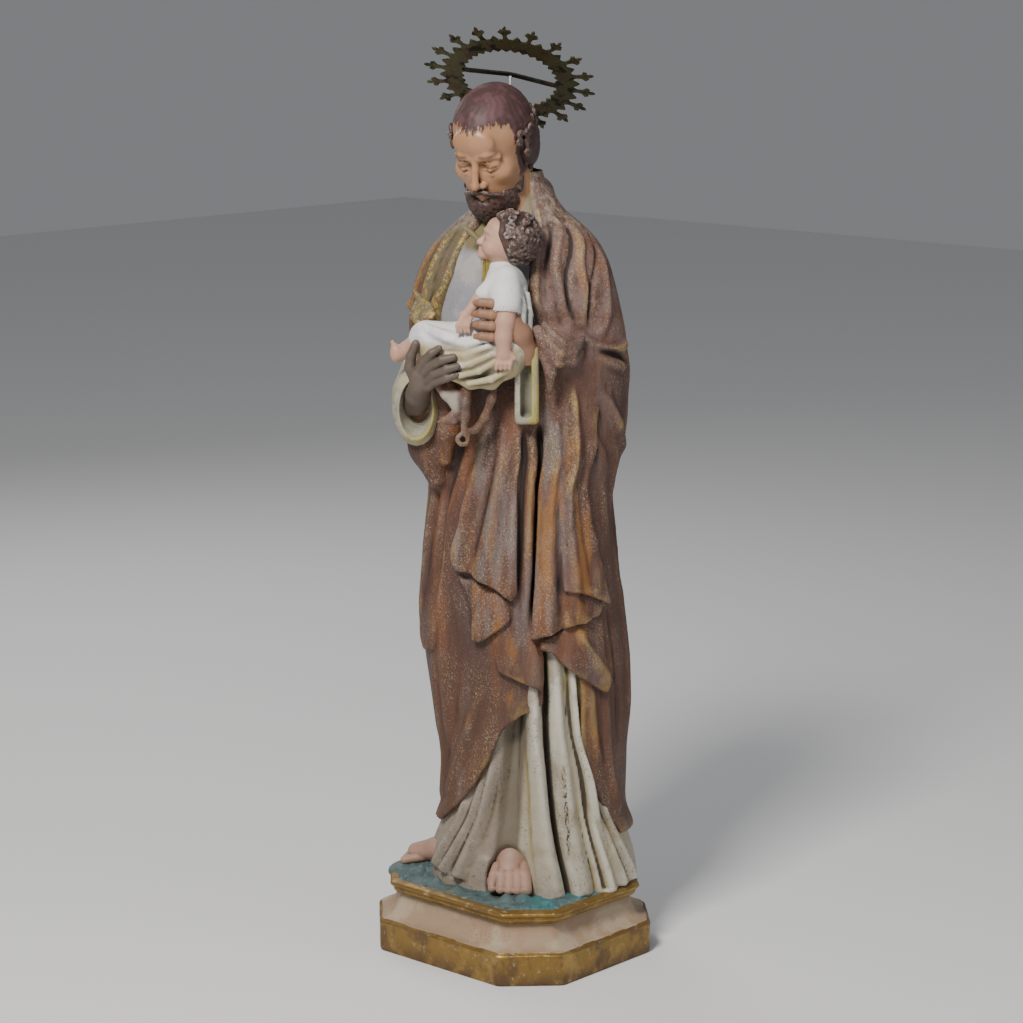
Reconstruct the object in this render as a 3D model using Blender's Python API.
"""Carved and cast devotional statue: a bearded saint in tunic and mantle holding a child,
on a moulded plinth with cut corners, with a sheet metal halo carried by a crossbar and pin.

The saint, the child, the ground and the plinth are one cast. The halo ring, its crossbar
and the pin are pieces of their own. Units are metres, Z is up and the front faces -Y.
"""
import math

import bmesh
import bpy
import numpy as np
from mathutils import Matrix, Vector

# Driving sizes of the plinth.
PLINTH_LEN = 0.259
PLINTH_DEP = 0.230
PLINTH_CUT = 0.047
BAND_H = 0.0335
BEAD_H = 0.0045
COVE_TOP = 0.0590
LIP_H = 0.0140
PLINTH_H = COVE_TOP + LIP_H
TOP_INSET = 0.0110

# Driving sizes of the figure. Every carved form below is set out on a figure of DRAWN_H
# units from the floor to the crown and scaled to FIGURE_TOP.
FIGURE_TOP = 0.891
DRAWN_H = 891.0
WORK_TURN = math.radians(42.2)
CELL = 3.6
STATUE_FACES = 7300

# Driving sizes of the halo.
HALO_R_IN = 0.0480
HALO_R_BAND = 0.0640
HALO_R_TIP = 0.0860
HALO_THICK = 0.0016
HALO_FLEURS = 18
HALO_TILT = math.radians(38.0)
BAR_W = 0.0055
BAR_THICK = 0.0018
PIN_R = 0.0016
BAR_BEND = 0.0035
FIT_GAP = 0.0003


def lerp_table(z, table, column):
    rows = np.array(table, dtype=np.float64)
    return np.interp(z, rows[:, 0], rows[:, column])


# Girth of the draped body: height, left, right, half depth, depth centre, twist in degrees.
GIRTH = (
    (50, -82, 126, 73, -3, 0),
    (90, -80, 124, 73, -3, 0),
    (120, -76, 118, 72, -2, 0),
    (155, -69, 111, 72, -2, 2),
    (207, -70, 112, 74, 0, 4),
    (260, -77, 112, 76, 1, 6),
    (314, -85, 110, 77, 2, 8),
    (366, -89, 104, 77, 3, 9),
    (419, -86, 98, 77, 3, 10),
    (471, -80, 92, 76, 2, 12),
    (500, -79, 94, 75, 0, 14),
    (528, -84, 106, 74, -2, 16),
    (560, -94, 110, 74, -3, 18),
    (610, -100, 111, 73, -5, 20),
    (650, -102, 107, 71, -7, 22),
    (690, -96, 98, 68, -9, 23),
    (716, -86, 91, 64, -10, 24),
    (736, -71, 81, 56, -10, 24),
    (752, -54, 66, 45, -10, 24),
    (768, -34, 44, 34, -9, 20),
    (790, -20, 28, 24, -8, 10),
    (820, -12, 20, 18, -8, 10),
)
MEAN_R = 92.0


def eased_girth():
    """The girth table read at every unit of height and eased into flowing curves."""
    levels = np.arange(0, 900.0)
    bell = np.exp(-np.linspace(-2, 2, 37) ** 2)
    bell /= bell.sum()
    rows = [levels]
    for column in range(1, 6):
        line = np.pad(lerp_table(levels, GIRTH, column), 18, mode="edge")
        rows.append(np.convolve(line, bell, mode="valid"))
    return rows


EASED = eased_girth()


def girth_at(z):
    left, right, deep, mid, twist = (np.interp(z, EASED[0], EASED[i]) for i in range(1, 6))
    return (left + right) / 2, (right - left) / 2, mid, deep, np.radians(twist)


def angle_of(s, z):
    """Angle round the body, 0 at the right edge and 180 at the left, of a front point."""
    centre, half, _, _, _ = girth_at(z)
    return math.acos(max(-0.995, min(0.995, (s - float(centre)) / float(half))))


def front_path(points):
    return [(angle_of(s, z) * MEAN_R, z) for s, z in points]


def turn_path(points):
    return [(math.radians(a) * MEAN_R, z) for a, z in points]


class Sheet:
    """Height of the cloth over the body, on a grid of angle by height."""

    def __init__(self, low, high, step=2.0, columns=640):
        self.u = (np.arange(columns) / columns * 2 - 1) * math.pi * MEAN_R
        self.z = np.arange(low, high + step, step)
        self.step = step
        self.h = np.zeros((columns, len(self.z)))

    def window(self, path, reach):
        us = [p[0] for p in path]
        zs = [p[1] for p in path]
        i = np.nonzero((self.u > min(us) - reach) & (self.u < max(us) + reach))[0]
        j = np.nonzero((self.z > min(zs) - reach) & (self.z < max(zs) + reach))[0]
        if len(i) == 0 or len(j) == 0:
            return None
        return slice(i[0], i[-1] + 1), slice(j[0], j[-1] + 1)

    def along(self, path, win):
        """Signed side distance, distance and share of the length to a path."""
        u = self.u[win[0]][:, None]
        z = self.z[win[1]][None, :]
        best = np.full((u.shape[0], z.shape[1]), 1e9)
        side = np.zeros_like(best)
        share = np.zeros_like(best)
        lengths = [math.dist(a, b) for a, b in zip(path, path[1:])]
        total = sum(lengths)
        done = 0.0
        for (a, b), length in zip(zip(path, path[1:]), lengths):
            du, dz = b[0] - a[0], b[1] - a[1]
            k = ((u - a[0]) * du + (z - a[1]) * dz) / (length * length)
            k = np.clip(k, 0, 1)
            eu, ez = u - a[0] - k * du, z - a[1] - k * dz
            dist = np.hypot(eu, ez)
            near = dist < best
            best = np.where(near, dist, best)
            side = np.where(near, np.sign(eu * dz - ez * du + 1e-9), side)
            share = np.where(near, (done + k * length) / total, share)
            done += length
        return side, best, share

    def fold(self, path, width, height, sharp=0.0, ends=(0.15, 0.15)):
        """Raise (or sink) a fold. sharp below zero steepens one side, above it the other."""
        path = eased_path(path)
        for lap in (-1, 0, 1):
            moved = [(u + lap * 2 * math.pi * MEAN_R, z) for u, z in path]
            self.fold_here(moved, width, height, sharp, ends)
        return self

    def fold_here(self, path, width, height, sharp, ends):
        first, last = width if isinstance(width, tuple) else (width, width)
        win = self.window(path, max(first, last) * 2.6)
        if win is None:
            return self
        side, dist, share = self.along(path, win)
        wide = first + (last - first) * share
        wide = np.where(side * sharp > 0, wide * (1 - abs(sharp)), wide)
        fade = np.clip(share / max(ends[0], 1e-3), 0, 1) * np.clip((1 - share) / max(ends[1], 1e-3), 0, 1)
        fade = fade * fade * (3 - 2 * fade)
        x = dist / wide
        if height > 0:
            form = 0.6 * np.exp(-x * x * 1.4) + 0.4 * np.sqrt(np.clip(1 - x * x * 0.8, 0, 1))
        else:
            form = np.clip(1 - x, 0, 1) ** 1.3
        self.h[win] += height * form * fade
        return self

    def inside(self, path, win):
        """Signed distance to a closed outline, positive inside."""
        u = self.u[win[0]][:, None]
        z = self.z[win[1]][None, :]
        best = np.full((u.shape[0], z.shape[1]), 1e9)
        odd = np.zeros(best.shape, dtype=bool)
        ring = list(path) + [path[0]]
        for a, b in zip(ring, ring[1:]):
            du, dz = b[0] - a[0], b[1] - a[1]
            k = np.clip(((u - a[0]) * du + (z - a[1]) * dz) / (du * du + dz * dz + 1e-9), 0, 1)
            best = np.minimum(best, np.hypot(u - a[0] - k * du, z - a[1] - k * dz))
            if dz != 0:
                cross = (z >= min(a[1], b[1])) & (z < max(a[1], b[1]))
                odd ^= cross & (u < a[0] + (z - a[1]) / dz * du)
        return np.where(odd, best, -best)

    def layer(self, points, lifts, folds=(), wave=1.2, round_back=()):
        """Hang a flap of cloth over the body inside an outline, with a lift at each corner."""
        path = lifted_path(points, lifts) + turn_path([p[:2] for p in round_back])
        lifts = list(lifts) + [p[2] for p in round_back]
        win = self.window(path, 12)
        gap = self.inside(path, win)
        u = self.u[win[0]][:, None]
        z = self.z[win[1]][None, :]
        weight = np.zeros(gap.shape)
        lift = np.zeros(gap.shape)
        for (pu, pz), up in zip(path, lifts):
            w = 1.0 / ((u - pu) ** 2 + (z - pz) ** 2 + 60.0)
            weight += w
            lift += w * up
        lift /= weight
        flap = Sheet(self.z[0], self.z[-1], self.step, len(self.u))
        for item in folds:
            flap.fold(*item)
        lift = lift + flap.h[win]
        ripple = wave * np.sin(u * 0.21 + z * 0.05) * np.sin(z * 0.13 + u * 0.04)
        lift = np.maximum(lift + ripple * np.clip(1 - gap / 30, 0, 1), self.h[win] + 0.6)
        m = np.clip(gap / 2.4 * 0.5 + 0.5, 0, 1)
        m = m * m * (3 - 2 * m)
        here = self.h[win]
        self.h[win] = here + (lift - here) * m
        return self

    def sample(self, u, z):
        columns = len(self.u)
        fu = (u / (2 * math.pi * MEAN_R) + 0.5) * columns
        i0 = np.floor(fu).astype(np.int64)
        ku = fu - i0
        i0 %= columns
        i1 = (i0 + 1) % columns
        fz = np.clip((z - self.z[0]) / self.step, 0, len(self.z) - 1.001)
        j0 = np.floor(fz).astype(np.int64)
        kz = fz - j0
        low = self.h[i0, j0] * (1 - ku) + self.h[i1, j0] * ku
        high = self.h[i0, j0 + 1] * (1 - ku) + self.h[i1, j0 + 1] * ku
        return low * (1 - kz) + high * kz


def eased_path(points, steps=5):
    """A smooth curve through the points, so that folds sway instead of bending."""
    if len(points) < 3:
        return list(points)
    out = []
    n = len(points)
    for i in range(n - 1):
        p0, p1, p2, p3 = points[max(0, i - 1)], points[i], points[i + 1], points[min(n - 1, i + 2)]
        for k in range(steps):
            h = k / steps
            out.append(tuple(0.5 * (2 * p1[a] + (p2[a] - p0[a]) * h + (2 * p0[a] - 5 * p1[a] + 4 * p2[a] - p3[a]) * h * h
                                    + (3 * p1[a] - p0[a] - 3 * p2[a] + p3[a]) * h ** 3) for a in (0, 1)))
    out.append(tuple(points[-1]))
    return out


def lifted_path(points, lifts):
    """Angle path of front points that stand off the body by their lifts."""
    out = []
    for (s, z), up in zip(points, lifts):
        centre, half, _, _, _ = girth_at(z)
        share = (s - float(centre)) / (float(half) + up)
        out.append((math.acos(max(-0.995, min(0.995, share))) * MEAN_R, z))
    return out


# Edge of the mantle over the tunic, from the left edge round the front to the right.
HEM_LEFT = ((-76, 138), (-64, 154), (-52, 169), (-39, 189), (-25, 216), (-18, 233), (-12, 248), (8, 266), (21, 271), (30, 279))
HEM_RIGHT = ((31, 344), (62, 342), (69, 286), (67, 233), (71, 200), (84, 180), (98, 150), (112, 128))


# Opening of the mantle over the breast.
BREAST = ((-24, 800), (-34, 756), (-47, 735), (-58, 704), (-70, 668), (-70, 610), (12, 610), (14, 690), (17, 740), (14, 800))


def mantle_edge():
    left = lifted_path(HEM_LEFT, [9] * len(HEM_LEFT))
    right = lifted_path(HEM_RIGHT, [9] * len(HEM_RIGHT))
    outline = [(math.radians(250) * MEAN_R, 128)]
    outline += left
    outline += right
    outline += [(math.radians(-6) * MEAN_R, 128), (math.radians(-110) * MEAN_R, 134)]
    outline += [(math.radians(-110) * MEAN_R, 840), (math.radians(250) * MEAN_R, 840)]
    return outline


def tunic_sheet():
    cloth = Sheet(56, 800)
    flare = np.clip((190 - cloth.z) / 120, 0, 1) ** 1.5
    cloth.h += 4.5 * flare[None, :]
    ridges = (
        (((20, 360), (22, 250), (29, 173), (42, 72)), (6, 13), 15, 0.3),
        (((43, 360), (45, 260), (54, 187), (68, 72)), (5, 12), 13, 0.0),
        (((59, 360), (62, 260), (73, 184), (97, 72)), (5, 12), 12, 0.2),
        (((66, 250), (77, 185), (94, 132), (112, 76)), (4, 9), 10, 0.2),
        (((84, 200), (104, 132), (124, 78)), (5, 9), 9, 0.0),
        (((-22, 230), (-28, 180), (-42, 128), (-58, 86)), (4, 9), 10, 0.2),
        (((-34, 205), (-42, 160), (-58, 122), (-74, 88)), (4, 8), 9, 0.2),
        (((-50, 190), (-58, 150), (-72, 120), (-84, 90)), (4, 8), 7, 0.0),
    )
    for points, width, height, sharp in ridges:
        path = lifted_path(points, [8] * len(points))
        cloth.fold(path, width, height, sharp, (0.35, 0.0))
    grooves = (
        (((32, 350), (33, 250), (37, 180), (54, 72)), (5, 5), -12),
        (((53, 350), (55, 260), (66, 187), (86, 76)), (4, 4), -8),
        (((6, 280), (2, 230), (-3, 180), (-7, 120)), (15, 25), -19),
    )
    for points, width, depth in grooves:
        cloth.fold(front_path(points), width, depth, 0.0, (0.05, 0.0))
    for k in range(11):
        a = -20 - k * 14.5
        path = turn_path(((a, 240), (a - 1.5, 150), (a - 3, 64)))
        cloth.fold(path, (5, 9), 5 + (k % 3), 0.3 - 0.3 * (k % 2), (0.45, 0.0))
    below = np.clip((205 - cloth.z) / 60, 0, 1)[None, :]
    back = (cloth.u < math.radians(15) * MEAN_R)[:, None]
    cloth.h = np.where(back, cloth.h * below, cloth.h)
    return cloth


def mantle_sheet():
    cloth = Sheet(56, 800)
    cloth.h += 5.0
    hem = cloth.inside(mantle_edge(), (slice(0, len(cloth.u)), slice(0, len(cloth.z))))
    flare = 4.0 * np.exp(-(hem / 16.0) ** 2) * (cloth.z < 330)[None, :]
    cloth.h += flare
    ridges = (
        (((-58, 545), (-72, 480), (-80, 418), (-83, 340)), (7, 9), 7, 0.4, (0.3, 0.12)),
        (((-50, 540), (-62, 450), (-66, 340), (-62, 250), (-56, 190)), 10, 4, 0.0, (0.3, 0.2)),
        (((-28, 300), (-40, 250), (-54, 200), (-64, 165)), (5, 8), 4, 0.0, (0.2, 0.1)),
        (((15, 560), (15, 480), (13, 400), (14, 345)), 5, 5, 0.0, (0.1, 0.2)),
        (((92, 560), (98, 480), (104, 400), (110, 300), (110, 200)), 9, 5, 0.0, (0.2, 0.2)),
        (((84, 330), (90, 260), (94, 200), (104, 150)), (5, 8), 5, 0.3, (0.2, 0.05)),
        (((72, 300), (76, 250), (84, 205)), 5, 4, 0.0, (0.2, 0.2)),
        (((-78, 330), (-72, 260), (-66, 200), (-70, 150)), (6, 9), 4, 0.2, (0.3, 0.1)),
    )
    ridges += (
        (((-30, 760), (-52, 728), (-64, 700), (-76, 662)), 6, 6, -0.3, (0.1, 0.1)),
        (((-44, 756), (-66, 726), (-80, 690), (-86, 655)), 6, 6, 0.0, (0.2, 0.1)),
        (((-62, 742), (-84, 706), (-97, 660)), 6, 5, 0.0, (0.2, 0.1)),
        (((-102, 672), (-92, 660), (-80, 662)), 6, 6, 0.0, (0.2, 0.2)),
        (((-100, 656), (-90, 645), (-78, 648)), 5, 6, 0.0, (0.2, 0.2)),
        (((20, 776), (22, 740), (20, 700), (24, 660)), 5, 5, 0.3, (0.1, 0.2)),
        (((34, 768), (38, 730), (42, 690), (52, 648)), 6, 5, -0.3, (0.1, 0.1)),
        (((52, 758), (62, 724), (66, 690), (62, 650)), 7, 5, 0.3, (0.2, 0.1)),
        (((74, 740), (86, 706), (88, 670), (76, 646)), 7, 4, -0.2, (0.2, 0.1)),
        (((58, 652), (74, 640), (96, 634), (110, 640)), (5, 7), 6, 0.3, (0.1, 0.2)),
        (((66, 636), (84, 622), (104, 612)), 7, 7, -0.4, (0.2, 0.1)),
        (((72, 610), (84, 580), (100, 545)), 8, 5, 0.0, (0.2, 0.2)),
        (((62, 606), (70, 560), (84, 500), (92, 430)), (6, 8), 5, 0.2, (0.2, 0.2)),
        (((84, 596), (98, 560), (108, 520)), 7, 5, 0.0, (0.2, 0.2)),
    )
    for points, width, height, sharp, ends in ridges:
        cloth.fold(front_path(points), width, height, sharp, ends)
    grooves = (
        (((64, 628), (84, 630), (106, 622)), 6, -11),
        (((28, 765), (30, 720), (32, 670)), 5, -5),
        (((46, 758), (50, 710), (56, 660)), 5, -5),
        (((68, 748), (74, 700), (68, 655)), 5, -4),
        (((-38, 750), (-60, 712), (-72, 676)), 5, -5),
        (((-44, 560), (-62, 482), (-68, 421), (-74, 380), (-80, 334)), 9, -7),
        (((24, 570), (25, 486), (23, 415), (17, 350)), 7, -13),
        (((8, 560), (8, 486), (6, 425), (4, 392)), 5, -6),
        (((-50, 330), (-56, 250), (-66, 190)), 8, -3),
        (((90, 380), (100, 300), (102, 220)), 8, -4),
        (((104, 500), (106, 430), (108, 380)), 6, -4),
    )
    for points, width, depth in grooves:
        cloth.fold(front_path(points), width, depth, 0.0, (0.12, 0.2))
    drape = (
        (-24, 720, 560, 380, 200, 9, 7), (-46, 735, 600, 420, 180, 10, 8), (-66, 740, 560, 360, 190, 9, 7),
        (-88, 745, 620, 400, 170, 11, 8), (-108, 740, 560, 380, 200, 9, 7), (-130, 730, 600, 420, 180, 10, 8),
        (-152, 715, 560, 380, 200, 9, 6), (-170, 600, 500, 360, 190, 8, 5),
    )
    for angle, top, upper, lower, foot, width, height in drape:
        lean = 4 * math.sin(math.radians(angle * 3))
        path = turn_path(((angle + lean, top), (angle, upper), (angle - lean, lower), (angle - lean / 2, foot)))
        cloth.fold(path, (width * 0.8, width * 1.2), height, 0.35 * math.sin(angle), (0.2, 0.1))
    outer = ((-62, 440), (-66, 405), (-73, 368), (-80, 342), (-85, 322), (-90, 318))
    cloth.layer(outer, (1, 5, 9, 11, 12, 12), (), 1.2, ((196, 330, 10), (206, 400, 4), (190, 470, 1)))
    flap_low = ((-22, 352), (-18, 330), (-17, 312), (-8, 308), (8, 302), (29, 293), (31, 306), (29, 322), (17, 352), (2, 364))
    cloth.layer(flap_low, (4, 7, 13, 15, 17, 18, 16, 12, 5, 4),
                ((front_path(((19, 360), (18, 334), (23, 298))), 6, 4, 0.3, (0.3, 0.0)),))
    flap_mid = ((-57, 406), (-48, 392), (-42, 372), (-41, 341), (-34, 340), (-21, 350), (-8, 360), (-3, 366), (-6, 384), (-28, 398))
    cloth.layer(flap_mid, (6, 7, 9, 15, 16, 15, 13, 12, 8, 7))
    panel_a = ((-20, 600), (-46, 502), (-53, 462), (-60, 432), (-57, 411), (-47, 411), (-38, 407), (-27, 402), (-14, 393), (-2, 384), (4, 394), (4, 469), (4, 507), (8, 600))
    folds_a = (
        (front_path(((-20, 570), (-38, 490), (-50, 415))), (5, 7), 5, -0.4, (0.3, 0.0)),
        (front_path(((-8, 570), (-16, 480), (-26, 400))), (5, 8), 5, 0.0, (0.3, 0.0)),
        (front_path(((3, 560), (1, 480), (-4, 388))), (3, 5), 4, 0.0, (0.3, 0.0)),
        (front_path(((-14, 550), (-26, 470), (-37, 405))), 6, -4, 0.0, (0.3, 0.0)),
    )
    cloth.layer(panel_a, (1, 8, 11, 14, 17, 17, 17, 17, 16, 14, 9, 7, 6, 1), folds_a)
    flap_f = ((26, 344), (27, 334), (38, 333), (48, 322), (60, 311), (78, 299), (95, 286), (95, 300), (92, 336), (89, 366), (60, 362))
    cloth.layer(flap_f, (8, 12, 14, 16, 17, 18, 18, 16, 11, 6, 6),
                ((front_path(((58, 366), (64, 340), (86, 292))), (5, 9), 5, 0.3, (0.3, 0.0)),))
    panel_e = ((28, 600), (26, 508), (24, 468), (21, 402), (17, 346), (24, 348), (35, 352), (47, 356), (66, 361), (88, 367), (90, 396), (60, 420), (56, 600))
    folds_e = (
        (front_path(((36, 580), (33, 480), (30, 350))), (5, 7), 7, 0.0, (0.2, 0.0)),
        (front_path(((50, 420), (54, 385), (64, 360))), (4, 7), 5, 0.0, (0.3, 0.0)),
        (front_path(((42, 420), (41, 385), (44, 354))), (4, 4), -4, 0.0, (0.3, 0.0)),
    )
    cloth.layer(panel_e, (1, 8, 10, 12, 16, 17, 17, 17, 15, 11, 8, 8, 1), folds_e)
    panel_d = ((46, 640), (43, 508), (47, 468), (50, 396), (60, 394), (69, 393), (84, 386), (99, 378), (94, 402), (88, 428), (79, 463), (76, 508), (74, 640))
    folds_d = (
        (front_path(((50, 630), (49, 500), (52, 394))), (4, 6), 6, -0.3, (0.2, 0.0)),
        (front_path(((72, 630), (77, 500), (94, 384))), (5, 8), 6, 0.3, (0.2, 0.0)),
        (front_path(((60, 600), (61, 500), (68, 396))), (6, 9), -4, 0.0, (0.2, 0.0)),
    )
    cloth.layer(panel_d, (3, 11, 15, 19, 20, 20, 20, 20, 18, 16, 13, 10, 3), folds_d)
    return cloth


class Field:
    """Signed distance on a grid in the work frame, negative inside."""

    def __init__(self, low, high, cell):
        self.cell = cell
        self.axes = [np.arange(a, b + cell, cell) for a, b in zip(low, high)]
        self.f = np.full([len(a) for a in self.axes], 60.0)

    def window(self, low, high):
        cut = []
        for axis, a, b in zip(self.axes, low, high):
            hit = np.nonzero((axis >= a) & (axis <= b))[0]
            if len(hit) == 0:
                return None
            cut.append(slice(hit[0], hit[-1] + 1))
        return tuple(cut)

    def points(self, cut):
        s = self.axes[0][cut[0]][:, None, None]
        t = self.axes[1][cut[1]][None, :, None]
        z = self.axes[2][cut[2]][None, None, :]
        return s, t, z

    def blend(self, cut, d, k, keep=True):
        old = self.f[cut]
        if keep:
            if k > 0:
                h = np.clip(0.5 + 0.5 * (old - d) / k, 0, 1)
                new = old * (1 - h) + d * h - k * h * (1 - h)
            else:
                new = np.minimum(old, d)
        else:
            if k > 0:
                h = np.clip(0.5 - 0.5 * (old + d) / k, 0, 1)
                new = old * (1 - h) - d * h + k * h * (1 - h)
            else:
                new = np.maximum(old, -d)
        self.f[cut] = new

    def cone(self, a, b, ra, rb, k=3.0, keep=True):
        reach = max(ra, rb) + k + 3 * self.cell
        cut = self.window([min(p, q) - reach for p, q in zip(a, b)], [max(p, q) + reach for p, q in zip(a, b)])
        if cut is None:
            return self
        s, t, z = self.points(cut)
        ax = [q - p for p, q in zip(a, b)]
        length = sum(x * x for x in ax) + 1e-9
        h = np.clip(((s - a[0]) * ax[0] + (t - a[1]) * ax[1] + (z - a[2]) * ax[2]) / length, 0, 1)
        d = np.sqrt((s - a[0] - h * ax[0]) ** 2 + (t - a[1] - h * ax[1]) ** 2 + (z - a[2] - h * ax[2]) ** 2)
        self.blend(cut, d - (ra + (rb - ra) * h), k, keep)
        return self

    def tube(self, points, radii, k=2.0, keep=True):
        for i in range(len(points) - 1):
            self.cone(points[i], points[i + 1], radii[i], radii[i + 1], k, keep)
        return self

    def egg(self, c, r, k=3.0, axes=None, keep=True):
        """An ellipsoid, with its own three axes where it lies askew."""
        reach = max(r) + k + 3 * self.cell
        cut = self.window([p - reach for p in c], [p + reach for p in c])
        if cut is None:
            return self
        s, t, z = self.points(cut)
        p = (s - c[0], t - c[1], z - c[2])
        if axes is None:
            q = p
        else:
            q = tuple(p[0] * v[0] + p[1] * v[1] + p[2] * v[2] for v in axes)
        k0 = np.sqrt(sum((x / y) ** 2 for x, y in zip(q, r)))
        k1 = np.sqrt(sum((x / (y * y)) ** 2 for x, y in zip(q, r))) + 1e-9
        self.blend(cut, k0 * (k0 - 1) / k1, k, keep)
        return self

    def block(self, low, high, soft, k=3.0, keep=True):
        """A box with rounded edges."""
        reach = k + 3 * self.cell
        cut = self.window([p - reach for p in low], [p + reach for p in high])
        if cut is None:
            return self
        q = [np.abs(p - (a + b) / 2) - (b - a) / 2 + soft for p, a, b in zip(self.points(cut), low, high)]
        away = np.sqrt(sum(np.maximum(x, 0) ** 2 for x in q))
        within = np.minimum(np.maximum(np.maximum(q[0], q[1]), q[2]), 0)
        self.blend(cut, away + within - soft, k, keep)
        return self


def body_distance(field, sheet):
    """Radial distance of the grid to the draped body with a sheet of cloth on it."""
    s = field.axes[0][:, None]
    t = field.axes[1][None, :]
    out = np.empty_like(field.f)
    for j, z in enumerate(field.axes[2]):
        cs, half, ct, deep, twist = (float(v) for v in girth_at(z))
        x = (s - cs) / half
        y = ((t - ct) / deep - x * math.sin(twist)) / math.cos(twist)
        rho = np.hypot(x, y) + 1e-6
        away = np.hypot(s - cs, t - ct)
        u = np.arctan2(y, x) * MEAN_R
        lift = sheet.sample(u, np.full_like(u, z))
        out[:, :, j] = away * (1 - 1 / rho) - lift
    return out


def edge_distance(field, outline):
    """Signed distance to the mantle's outline over the body, positive on the mantle."""
    plan = Sheet(56, 860)
    full = (slice(0, len(plan.u)), slice(0, len(plan.z)))
    near = plan.inside(outline, full)
    far = plan.inside([(u - 2 * math.pi * MEAN_R, z) for u, z in outline], full)
    plan.h = np.maximum(near, far)
    s = field.axes[0][:, None]
    t = field.axes[1][None, :]
    out = np.empty_like(field.f)
    for j, z in enumerate(field.axes[2]):
        cs, half, ct, deep, twist = (float(v) for v in girth_at(z))
        x = (s - cs) / half
        y = ((t - ct) / deep - x * math.sin(twist)) / math.cos(twist)
        out[:, :, j] = plan.sample(np.arctan2(y, x) * MEAN_R, np.full(x.shape if x.shape == y.shape else y.shape, z))
    return out


# Where the saint's head sits and its own axes: across, facing and up.
HEAD_AT = (-22, 20, 838)
HEAD_YAW = math.radians(27)
HEAD_NOD = math.radians(25)


def head_axes(yaw, nod):
    across = (math.cos(yaw), math.sin(yaw), 0.0)
    facing = (-math.sin(yaw) * math.cos(nod), math.cos(yaw) * math.cos(nod), -math.sin(nod))
    up = (-math.sin(yaw) * math.sin(nod), math.cos(yaw) * math.sin(nod), math.cos(nod))
    return across, facing, up


def placed(origin, axes, p, size=1.0):
    return tuple(origin[i] + size * sum(p[j] * axes[j][i] for j in range(3)) for i in range(3))


def curls(field, origin, axes, rings, radius, lump, k=1.5, size=1.0):
    """Rows of round locks set on an ellipsoid shell: each row has height, reach and count."""
    ra, rb, rc = radius
    for row, (up, start, stop, count) in enumerate(rings):
        level = math.sqrt(max(0.0, 1 - (up / rc) ** 2))
        for n in range(count):
            a = math.radians(start + (stop - start) * (n + 0.5 * (row % 2)) / max(1, count - 0.5))
            p = (ra * level * math.cos(a), rb * level * math.sin(a), up)
            r = lump * (0.85 + 0.3 * ((n * 7 + row * 3) % 5) / 5)
            field.egg(placed(origin, axes, p, size), (r * size, r * size, r * size), k)


def saint_head(field):
    axes = head_axes(HEAD_YAW, HEAD_NOD)

    def at(*p):
        return placed(HEAD_AT, axes, p)

    field.egg(at(0, -6, 8), (37, 47, 42), 2, axes)
    field.egg(at(0, 10, -22), (31.5, 32, 34), 6, axes)
    field.egg(at(0, 12, -42), (25, 28, 20), 8, axes)
    for side in (-1, 1):
        field.egg(at(side * 21, 25, -17), (11, 11, 10), 8, axes)
        field.egg(at(side * 15.5, 47, -6), (10, 8, 7), 5, axes, keep=False)
        field.egg(at(side * 15, 32.5, -6), (9.5, 9.5, 8.5), 1.5, axes)
        field.cone(at(side * 6, 39, 2), at(side * 23, 34, 1), 5, 4, 6)
        field.egg(at(side * 6, 43, -29), (4.2, 5, 3.6), 3, axes)
    field.cone(at(0, 38, 0), at(0, 51, -27), 4.2, 5.4, 4)
    field.tube((at(0, -4, -22), (-8, 2, 798), (2, -8, 752)), (27, 26, 34), 9)
    beard(field, at, axes)
    hair(field, axes)


def beard(field, at, axes):
    field.egg(at(0, 20, -54), (26, 25, 24), 4, axes)
    for side in (-1, 1):
        field.tube((at(side * 34, -2, -12), at(side * 31, 8, -30), at(side * 24, 20, -46)), (6, 7.5, 10), 4)
        field.tube((at(side * 2, 45, -35), at(side * 12, 42, -38), at(side * 20, 33, -45)), (4.6, 4.6, 3), 2)
    rows = ((-2, 20, 160, 7), (-10, 10, 170, 8), (-17, 20, 160, 7), (-23, 30, 150, 4))
    curls(field, at(0, 18, -52), axes, rows, (26, 25, 26), 5.0)


def hair(field, axes):
    centre = placed(HEAD_AT, axes, (0, -6, 8))
    field.egg(placed(HEAD_AT, axes, (0, -9, 10.5)), (38.2, 46.5, 41.5), 1, axes)
    rows = ((6, 150, 390, 11), (-4, 160, 380, 11), (-14, 165, 375, 11), (-24, 172, 368, 10), (-34, 176, 364, 9))
    curls(field, centre, axes, rows, (38.0, 46, 50), 6.2)
    nape = placed(HEAD_AT, axes, (0, -22, -36))
    field.egg(nape, (24, 17, 19), 8, axes)
    curls(field, nape, axes, ((-2, 190, 350, 6), (-12, 200, 340, 5)), (25, 18, 20), 6)


CHILD_HEAD = (-3, 66, 744)
CHILD_YAW = math.radians(84)
CHILD_NOD = math.radians(-14)


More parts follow.
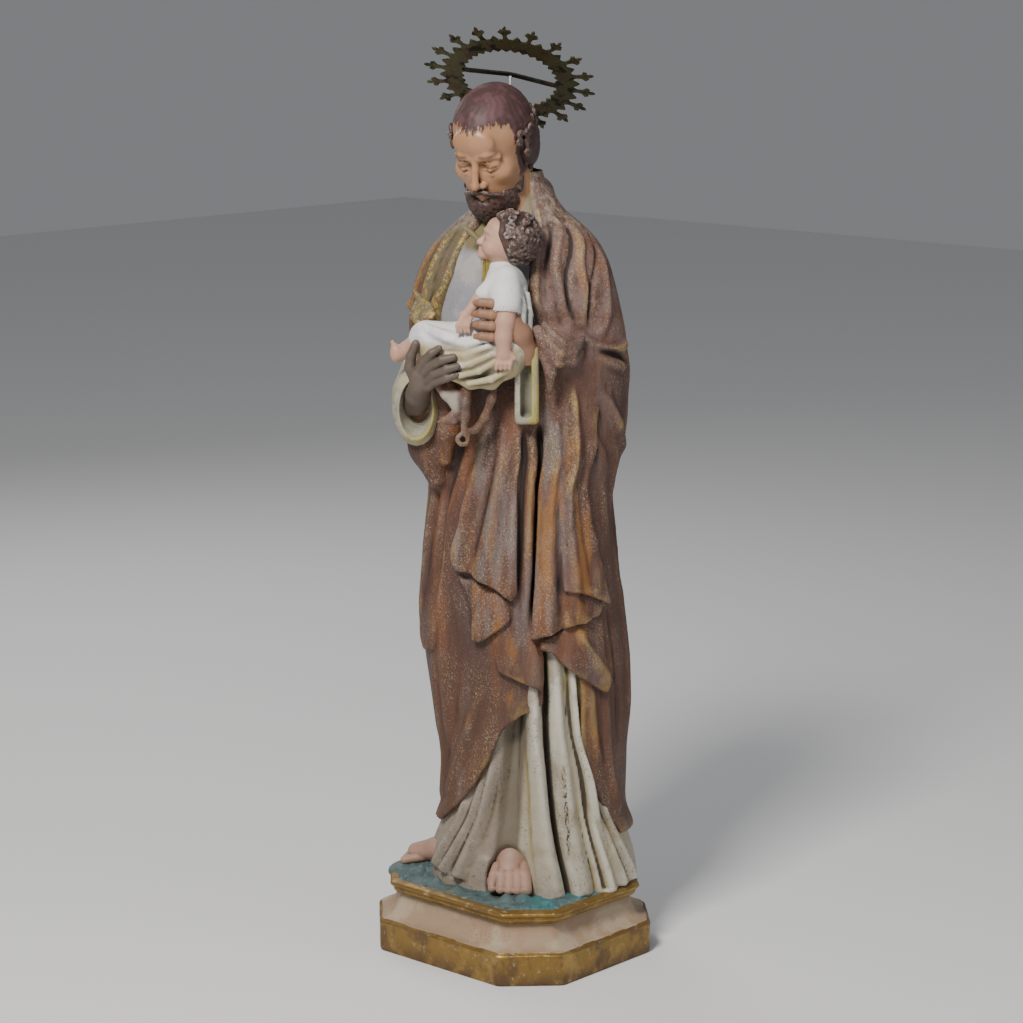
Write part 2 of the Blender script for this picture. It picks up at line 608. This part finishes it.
def child(field):
    axes = head_axes(CHILD_YAW, CHILD_NOD)

    def at(*p):
        return placed(CHILD_HEAD, axes, p)

    # Gown, trunk and lap.
    field.tube(((-11, 69, 716), (-8, 72, 698), (-6, 75, 668), (-4, 77, 642)), (12.5, 20, 22, 24), 8)
    field.tube(((-4, 76, 640), (-42, 72, 641), (-86, 64, 646)), (24, 21, 17.5), 10)
    field.tube(((-78, 76, 630), (-42, 86, 627), (-8, 90, 626)), (12, 15, 17), 9)
    field.tube(((-60, 88, 612), (-42, 91, 606), (-22, 92, 607), (-6, 92, 622)), (5, 6, 7, 8), 6)
    field.tube(((-88, 76, 660), (-64, 86, 652), (-40, 94, 646)), (3, 4, 3), 4)
    # Near arm with a short sleeve, and the far arm with its hand on the gown.
    field.tube(((-7, 86, 708), (-8, 94, 694), (-8, 98, 684)), (12, 14.5, 15.5), 5)
    field.tube(((-7, 99, 684), (-8.5, 103, 668), (-10, 105, 652), (-9.5, 106, 638)), (10.6, 9.8, 8.8, 7.6), 2)
    field.tube(((-13, 107, 634), (-16, 108, 625)), (6.5, 4.5), 2)
    field.tube(((-4, 107, 634), (-5, 108, 626)), (5.5, 4), 2)
    field.tube(((-22, 86, 696), (-35, 89, 686), (-43, 92, 677), (-50, 93, 667)), (9, 7, 6, 5.5), 3)
    # Shin and foot.
    field.tube(((-90, 62, 645), (-106, 55, 633), (-114, 51, 627)), (10.5, 8.4, 7.4), 3)
    field.egg((-117, 51, 630), (6.4, 7.8, 10.4), 3)
    # Head with a round face and rows of curls.
    field.tube(((-12, 68, 710), (-9, 67, 730)), (11, 12.5), 4)
    field.egg(CHILD_HEAD, (22, 25, 24), 2, axes)
    field.egg(at(0, 12, -8), (17, 15, 17), 5, axes)
    for side in (-1, 1):
        field.egg(at(side * 8, 19, -12), (7, 6, 6.5), 4, axes)
        field.egg(at(side * 7.5, 27, -4), (4.5, 3, 3), 3, axes, keep=False)
    field.cone(at(0, 25, -3), at(0, 29, -10), 2.4, 3.0, 2)
    rows = ((20, 150, 390, 6), (12, 165, 375, 9), (4, 172, 368, 11), (-4, 178, 362, 10), (-12, 182, 358, 9), (-19, 190, 350, 6))
    curls(field, CHILD_HEAD, axes, rows, (22.5, 25.5, 24.5), 5.0)


def hands(field):
    # Hand under the child's legs.
    field.tube(((-98, 40, 574), (-95, 58, 588), (-92, 72, 600)), (13, 12.0, 11.5), 4)
    field.egg((-89, 79, 609), (12.5, 9.5, 14), 5)
    tips = ((-92, 618, -73, 640), (-88, 614, -59, 632), (-85, 607, -55, 623), (-84, 600, -56, 614))
    for s0, z0, s1, z1 in tips:
        field.tube(((s0, 83, z0), ((s0 + s1) / 2 - 1, 93, (z0 + z1) / 2), (s1, 97, z1)), (6.0, 5.6, 4.4), 1)
    field.tube(((-97, 72, 606), (-102, 76, 618), (-101, 79, 630), (-96, 81, 643)), (6.4, 6.0, 5.4, 4.4), 2)
    # Hand at the child's side.
    field.tube(((16, 80, 618), (12, 86, 636), (6, 94, 654), (-2, 96, 664)), (11, 11.5, 11.5, 11), 4)
    for n, z in enumerate((686, 675, 664, 653)):
        field.tube(((-1, 98, z - 8 + 2 * n), (-8, 101, z - 3), (-21, 104, z), (-31, 101, z), (-36, 95, z - 1)), (5.6, 5.8, 5.6, 5.0, 4.4), 1)
    field.tube(((4, 92, 668), (1, 92, 680), (-5, 90, 690)), (7.5, 6.5, 5), 3)


def sleeves(field):
    # Wide open cuff on the saint's right arm.
    field.tube(((-92, -4, 600), (-95, 30, 586)), (27, 28), 6)
    field.egg((-97, 38, 574), (24.5, 34, 40), 6)
    field.egg((-97, 80, 574), (18.0, 44, 33), 1.5, keep=False)
    # Cuff of the left arm, hanging square under the wrist.
    field.block((1, 62, 564), (25, 95, 642), 5, 3)
    field.block((6.5, 82, 571), (17.5, 125, 630), 4, 1.0, keep=False)


def arms(field):
    # Forearms under the mantle, with the cloth that hangs from them.
    field.tube(((-84, 0, 600), (-90, 26, 586)), (28, 26), 12)
    field.tube(((-88, 16, 566), (-85, 24, 530), (-78, 30, 498)), (25, 18, 9), 14)
    field.tube(((-70, 52, 590), (-66, 58, 550), (-70, 54, 512)), (12, 10, 5), 8)
    field.tube(((80, 20, 606), (62, 50, 618), (44, 70, 634)), (30, 26, 19), 14)
    field.tube(((90, 8, 560), (102, -4, 532)), (18, 9), 12)
    # Cloth gathered before the bend of the arm.
    field.tube(((20, 88, 658), (30, 94, 642), (44, 96, 627), (58, 90, 626), (66, 80, 634)), (3, 5, 6, 5.4, 4), 4)
    field.tube(((24, 88, 662), (36, 94, 648), (50, 96, 638), (60, 90, 638), (68, 80, 646)), (3, 5, 6, 5, 4), 4)


def shoulders(field):
    # Roll of the mantle behind the neck and down to the breast.
    field.tube(((-28, -14, 776), (-2, -32, 786), (26, -22, 782), (34, 4, 766)), (11, 12, 12, 10), 10)


def front_knot(field):
    # Ends of cloth and a small ringed knot that hang below the child.
    field.tube(((-84, 74, 592), (-70, 82, 584), (-66, 84, 570), (-73, 83, 564)), (7, 8, 5, 2), 4)
    field.tube(((-76, 78, 600), (-66, 86, 590), (-56, 88, 582), (-54, 88, 575)), (6, 6.5, 5, 3), 3)
    field.tube(((-56, 86, 580), (-54, 86, 570), (-60, 84, 562)), (5, 4, 2.5), 3)
    field.tube(((-46, 84, 600), (-47, 86, 586), (-47, 87, 572), (-49, 88, 560)), (5.5, 5, 4.6, 3.4), 4)
    field.tube(((-19, 84, 610), (-22, 86, 588), (-28, 87, 570), (-38, 87, 558), (-46, 88, 555)), (4.6, 4.4, 4.4, 3.6, 2.6), 4)
    for n in range(6):
        a = n * math.pi / 3
        b = (n + 1) * math.pi / 3
        field.cone((-50 + 5.4 * math.cos(a), 89, 549 + 5.4 * math.sin(a)), (-50 + 5.4 * math.cos(b), 89, 549 + 5.4 * math.sin(b)), 2.4, 2.4, 0.8)


def feet(field):
    # Right foot turned out to the left, left foot to the front under the arch of the tunic.
    field.tube(((-56, -8, 94), (-80, -20, 94), (-102, -30, 88)), (15, 12, 9.5), 5)
    field.tube(((0, 18, 100), (-1, 44, 98), (-4, 60, 91), (-6, 70, 86)), (18, 16, 13, 10), 6)
    field.tube(((-18, 66, 86), (8, 66, 86)), (9.5, 9), 4)
    for n in range(5):
        s = -22 + n * 8.6
        r = (4.6, 4.8, 5.0, 5.3, 6.4)[n]
        reach = (80, 85, 87, 88, 87)[n]
        field.cone((s * 0.86, 64, 86), (s, reach - 4, 83), r + 0.8, r + 0.2, 1)
        q = -15 + n * 6.4
        w = (4.8, 4.4, 4.0, 3.8, 3.4)[n]
        field.cone((-98 - q * 0.35, -30 - q * 0.5, 85), (-112 + q * 0.16, -33 - q * 0.9, 82), w + 0.6, w, 1)


def carved_field(cell):
    field = Field((-132, -100, 58), (134, 122, 900), cell)
    tunic = body_distance(field, tunic_sheet())
    mantle = body_distance(field, mantle_sheet())
    edge = edge_distance(field, mantle_edge())
    breast = edge_distance(field, front_path(BREAST))
    mantle = np.maximum(mantle, np.maximum(-edge, breast))
    field.f = np.minimum(tunic, mantle)
    top = np.abs(field.axes[2] - 430) - 352
    field.f = np.maximum(field.f, top[None, None, :])
    return field


def sculpt(cell):
    field = carved_field(cell)
    field.egg((-6, 90, 86), (27, 38, 42), 4, keep=False)
    shoulders(field)
    arms(field)
    sleeves(field)
    child(field)
    hands(field)
    front_knot(field)
    saint_head(field)
    feet(field)
    field.egg((-88, -22, 70), (44, 40, 9), 4)
    return field


CORNERS = [(i & 1, (i >> 1) & 1, (i >> 2) & 1) for i in range(8)]
PATHS = ((0, 1, 3, 7), (0, 1, 5, 7), (0, 2, 3, 7), (0, 2, 6, 7), (0, 4, 5, 7), (0, 4, 6, 7))


def skin(field):
    """Closed triangle skin of the zero level, by cutting each grid cube into six wedges."""
    f = np.where(np.abs(field.f) < 1e-5, 1e-5, field.f)
    nx, ny, nz = f.shape
    count = np.zeros((nx - 1, ny - 1, nz - 1), dtype=np.int8)
    for i, j, k in CORNERS:
        count += (f[i:nx - 1 + i, j:ny - 1 + j, k:nz - 1 + k] < 0)
    ci, cj, ck = np.nonzero((count > 0) & (count < 8))
    ids = [((ci + i) * ny + cj + j) * nz + ck + k for i, j, k in CORNERS]
    flat = f.ravel()
    edges = []
    guides = []
    for path in PATHS:
        corner = np.stack([ids[c] for c in path], axis=1)
        inner = flat[corner] < 0
        code = inner @ np.array([1, 2, 4, 8])
        for mask in range(1, 15):
            rows = corner[code == mask]
            if len(rows) == 0:
                continue
            ins = [b for b in range(4) if mask >> b & 1]
            outs = [b for b in range(4) if not mask >> b & 1]
            if len(ins) == 2:
                a, b = ins
                c, d = outs
                groups = (((a, c), (a, d), (b, d)), ((a, c), (b, d), (b, c)))
            else:
                one, many = (ins, outs) if len(ins) == 1 else (outs, ins)
                groups = (tuple((one[0], m) for m in many),)
            for group in groups:
                edges.append(np.stack([np.stack([rows[:, p], rows[:, q]], axis=1) for p, q in group], axis=1))
                guides.append(np.stack([rows[:, ins[0]], rows[:, outs[0]]], axis=1))
    edges = np.concatenate(edges)
    guides = np.concatenate(guides)
    edges.sort(axis=2)
    keys = edges[..., 0] * (nx * ny * nz) + edges[..., 1]
    unique, tris = np.unique(keys.ravel(), return_inverse=True)
    tris = tris.reshape(-1, 3)
    low = unique // (nx * ny * nz)
    high = unique % (nx * ny * nz)

    def spot(index):
        i = index // (ny * nz)
        j = index // nz % ny
        k = index % nz
        return np.stack([field.axes[0][i], field.axes[1][j], field.axes[2][k]], axis=1)

    fa, fb = flat[low], flat[high]
    share = np.clip(fa / (fa - fb), 0.06, 0.94)[:, None]
    verts = spot(low) * (1 - share) + spot(high) * share
    outward = spot(guides[:, 1]) - spot(guides[:, 0])
    a, b, c = (verts[tris[:, i]] for i in range(3))
    flip = np.einsum("ij,ij->i", np.cross(b - a, c - a), outward) < 0
    tris[flip] = tris[flip][:, ::-1]
    return verts, tris


def new_object(name, verts, faces, material, collection):
    mesh = bpy.data.meshes.new(name)
    mesh.from_pydata([tuple(v) for v in verts], [], [tuple(int(i) for i in f) for f in faces])
    mesh.validate()
    mesh.materials.append(material)
    item = bpy.data.objects.new(name, mesh)
    collection.objects.link(item)
    return item


def paint(name, colour, metallic, roughness):
    material = bpy.data.materials.new(name)
    material.use_nodes = True
    shader = material.node_tree.nodes["Principled BSDF"]
    shader.inputs["Base Color"].default_value = (*colour, 1.0)
    shader.inputs["Metallic"].default_value = metallic
    shader.inputs["Roughness"].default_value = roughness
    return material


def work_to_world(p):
    """A drawn point of the work frame, in metres, turned to the statue's own front."""
    scale = FIGURE_TOP / DRAWN_H
    s, t, z = p
    x = (s * math.cos(WORK_TURN) + t * math.sin(WORK_TURN)) * scale
    y = (s * math.sin(WORK_TURN) - t * math.cos(WORK_TURN)) * scale
    return Vector((x, y, z * scale))


def plinth_ring(inset, z, soft=0.004):
    """Plan of the plinth at one level: a rectangle with cut corners, each corner eased."""
    a = PLINTH_LEN / 2 - inset
    b = PLINTH_DEP / 2 - inset
    c = PLINTH_CUT - inset * 0.586
    base = [(a, b - c), (a - c, b), (-a + c, b), (-a, b - c), (-a, -b + c), (-a + c, -b), (a - c, -b), (a, -b + c)]
    ring = []
    for i, (x, y) in enumerate(base):
        for other in (base[i - 1], base[(i + 1) % 8]):
            dx, dy = other[0] - x, other[1] - y
            length = math.hypot(dx, dy)
            ring.append((x + dx / length * soft, y + dy / length * soft, z))
    return ring


def plinth_profile():
    """Inset and height of each level, from the floor to the ground the saint stands on."""
    band_top = BAND_H - BEAD_H
    levels = [(0.0015, 0.0), (0.0, 0.0025), (0.0, band_top), (-0.0008, band_top + 0.0012)]
    levels += [(-0.0008, BAND_H - 0.0010), (0.0010, BAND_H), (0.0030, BAND_H + 0.0012)]
    steps = 6
    for i in range(1, steps + 1):
        a = math.pi / 2 * i / steps
        inset = 0.0030 + 0.0180 * math.sin(a)
        z = COVE_TOP - (COVE_TOP - BAND_H - 0.0012) * math.cos(a)
        levels.append((inset, z))
    lip = ((0.0100, 0.08), (0.0055, 0.16), (0.0035, 0.38), (0.0040, 0.52), (0.0020, 0.60), (0.0, 0.78), (0.0008, 0.94), (0.0026, 1.0))
    levels += [(TOP_INSET + inset, COVE_TOP + LIP_H * share) for inset, share in lip]
    levels.append((TOP_INSET + 0.0090, PLINTH_H + 0.0016))
    return levels


def build_plinth(material, collection):
    verts = []
    faces = []
    levels = plinth_profile()
    for inset, z in levels:
        verts += plinth_ring(inset, z)
    n = 16
    faces.append(tuple(reversed(range(n))))
    for row in range(len(levels) - 1):
        for i in range(n):
            j = (i + 1) % n
            faces.append((row * n + i, row * n + j, (row + 1) * n + j, (row + 1) * n + i))
    last = (len(levels) - 1) * n
    faces.append(tuple(range(last, last + n)))
    return new_object("statue", verts, faces, material, collection)


def build_figure(material, collection):
    verts, tris = skin(sculpt(CELL))
    placed_verts = [work_to_world(v) for v in verts]
    figure = new_object("figure_cutter", placed_verts, tris, material, collection)
    turn_out(figure)
    thin = figure.modifiers.new("thin", "DECIMATE")
    thin.ratio = STATUE_FACES / len(tris)
    return figure


def freeze(item):
    """Write an object's modifiers into its mesh."""
    graph = bpy.context.evaluated_depsgraph_get()
    mesh = bpy.data.meshes.new_from_object(item.evaluated_get(graph))
    item.modifiers.clear()
    item.data = mesh


def largest_shell(item):
    """Keep only the largest connected shell of a mesh."""
    shell = bmesh.new()
    shell.from_mesh(item.data)
    shell.verts.ensure_lookup_table()
    seen = set()
    groups = []
    for start in shell.verts:
        if start.index in seen:
            continue
        stack = [start]
        group = []
        seen.add(start.index)
        while stack:
            v = stack.pop()
            group.append(v)
            for e in v.link_edges:
                o = e.other_vert(v)
                if o.index not in seen:
                    seen.add(o.index)
                    stack.append(o)
        groups.append(group)
    groups.sort(key=len)
    loose = [v for group in groups[:-1] for v in group]
    bmesh.ops.delete(shell, geom=loose, context="VERTS")
    shell.to_mesh(item.data)
    shell.free()


# Centre of the halo ring in the work frame and the two axes of its plane.
HALO_AT = (-4, 2, 896)
HALO_ROLL = math.radians(-10)


def halo_axes():
    """Across, fore and normal axes of the ring in the work frame."""
    across = Vector((math.cos(HALO_ROLL), 0.0, math.sin(HALO_ROLL)))
    rise = Vector((-math.sin(HALO_ROLL), 0.0, math.cos(HALO_ROLL)))
    fore = math.cos(HALO_TILT) * Vector((0.0, 1.0, 0.0)) + math.sin(HALO_TILT) * rise
    normal = fore.cross(across)
    if normal.z < 0:
        normal.negate()
    return across, fore, normal


def halo_point(x, y, h):
    """A point of the halo plane, in metres, in the world."""
    across, fore, normal = halo_axes()
    scale = FIGURE_TOP / DRAWN_H
    centre = Vector(HALO_AT)
    return work_to_world(centre + (across * x + fore * y + normal * h) / scale)


def halo_outline():
    """Radius and angle of the cut edge of one bay: a three lobed leaf and a small tooth."""
    tip, band = HALO_R_TIP, HALO_R_BAND
    reach = tip - band
    half = (
        (0.00, 1.00), (0.065, 0.86), (0.05, 0.68), (0.17, 0.74), (0.25, 0.58), (0.10, 0.42),
        (0.075, 0.18), (0.15, 0.02), (0.31, 0.02), (0.39, 0.14), (0.50, 0.27),
    )
    bay = [(-a, r) for a, r in reversed(half[:-1])] + list(half[1:])
    return [(a, band + reach * r) for a, r in bay]


def build_ring(material, collection):
    outer = []
    inner = []
    for k in range(HALO_FLEURS):
        for a, r in halo_outline():
            angle = (k + a) * 2 * math.pi / HALO_FLEURS
            outer.append((r * math.cos(angle), r * math.sin(angle)))
        for a, r in ((-0.5, -0.0025), (-0.25, 0.0012), (0.0, -0.0025), (0.25, 0.0012)):
            angle = (k + a) * 2 * math.pi / HALO_FLEURS
            inner.append(((HALO_R_IN + r) * math.cos(angle), (HALO_R_IN + r) * math.sin(angle)))
    plate = bmesh.new()
    rings = []
    for loop in (outer, inner):
        verts = [plate.verts.new((x, y, 0.0)) for x, y in loop]
        edges = [plate.edges.new((verts[i], verts[(i + 1) % len(verts)])) for i in range(len(verts))]
        rings += edges
    bmesh.ops.triangle_fill(plate, use_beauty=True, use_dissolve=False, edges=rings, normal=(0, 0, 1))
    top = bmesh.ops.extrude_face_region(plate, geom=plate.faces[:])
    lifted = [g for g in top["geom"] if isinstance(g, bmesh.types.BMVert)]
    bmesh.ops.translate(plate, verts=lifted, vec=(0, 0, HALO_THICK))
    bmesh.ops.translate(plate, verts=plate.verts[:], vec=(0, 0, -HALO_THICK / 2))
    for v in plate.verts:
        v.co = halo_point(*v.co)
    bmesh.ops.recalc_face_normals(plate, faces=plate.faces[:])
    if plate.calc_volume(signed=True) < 0:
        bmesh.ops.reverse_faces(plate, faces=plate.faces[:])
    mesh = bpy.data.meshes.new("halo_ring")
    plate.to_mesh(mesh)
    plate.free()
    mesh.materials.append(material)
    item = bpy.data.objects.new("halo_ring", mesh)
    collection.objects.link(item)
    return item


def build_bar(material, collection):
    """Flat strap over the ring, bent up a little at the middle."""
    rise = HALO_THICK / 2 + FIT_GAP
    half = HALO_R_IN + 0.0080
    rows = ((-half, rise), (-HALO_R_IN + 0.006, rise), (-0.004, rise + BAR_BEND), (0.004, rise + BAR_BEND), (HALO_R_IN - 0.006, rise), (half, rise))
    verts = []
    for x, h in rows:
        for y, up in ((-BAR_W / 2, 0), (BAR_W / 2, 0), (BAR_W / 2, BAR_THICK), (-BAR_W / 2, BAR_THICK)):
            verts.append(halo_point(x, y, h + up))
    faces = [(0, 1, 2, 3), tuple(4 * (len(rows) - 1) + i for i in (3, 2, 1, 0))]
    for r in range(len(rows) - 1):
        for i in range(4):
            j = (i + 1) % 4
            faces.append((4 * r + i, 4 * r + j, 4 * r + 4 + j, 4 * r + 4 + i))
    item = new_object("halo_crossbar", verts, faces, material, collection)
    turn_out(item)
    return item


def turn_out(item):
    work = bmesh.new()
    work.from_mesh(item.data)
    bmesh.ops.recalc_face_normals(work, faces=work.faces[:])
    if work.calc_volume(signed=True) < 0:
        bmesh.ops.reverse_faces(work, faces=work.faces[:])
    work.to_mesh(item.data)
    work.free()


def build_pin(material, collection, gap=0.0):
    """Bright pin from the middle of the strap down into the crown."""
    head = halo_point(0, 0, HALO_THICK / 2 + BAR_BEND - FIT_GAP - 0.4 * PIN_R)
    foot = work_to_world((-4, 6, 880))
    axis = (head - foot).normalized()
    work = bmesh.new()
    bmesh.ops.create_cone(work, cap_ends=True, segments=12, radius1=PIN_R + gap, radius2=PIN_R + gap, depth=(head - foot).length)
    spin = Vector((0, 0, 1)).rotation_difference(axis).to_matrix().to_4x4()
    work.transform(Matrix.Translation((head + foot) / 2) @ spin)
    mesh = bpy.data.meshes.new("halo_pin")
    work.to_mesh(mesh)
    work.free()
    mesh.materials.append(material)
    item = bpy.data.objects.new("halo_pin", mesh)
    collection.objects.link(item)
    return item


def boolean(item, tool, kind):
    step = item.modifiers.new(kind.lower(), "BOOLEAN")
    step.operation = kind
    step.solver = "EXACT"
    step.object = tool


def main():
    for old in list(bpy.data.objects):
        bpy.data.objects.remove(old)
    parts = bpy.data.collections.new("saint_joseph_statue")
    tools = bpy.data.collections.new("cutters")
    bpy.context.scene.collection.children.link(parts)
    bpy.context.scene.collection.children.link(tools)
    plaster = paint("painted_plaster", (0.42, 0.25, 0.16), 0.0, 0.6)
    bronze = paint("dark_bronze", (0.10, 0.08, 0.05), 0.9, 0.5)
    strap = paint("dark_strap", (0.07, 0.06, 0.05), 0.9, 0.5)
    bright = paint("bright_wire", (0.75, 0.73, 0.68), 1.0, 0.3)

    figure = build_figure(plaster, tools)
    freeze(figure)
    largest_shell(figure)
    statue = build_plinth(plaster, parts)
    hole = build_pin(bright, tools, FIT_GAP)
    hole.name = "pin_hole"
    boolean(statue, figure, "UNION")
    boolean(statue, hole, "DIFFERENCE")
    build_ring(bronze, parts)
    build_bar(strap, parts)
    build_pin(bright, parts)
    for tool in (figure, hole):
        tool.hide_render = True
        tool.display_type = "WIRE"


if __name__ == "__main__":
    main()
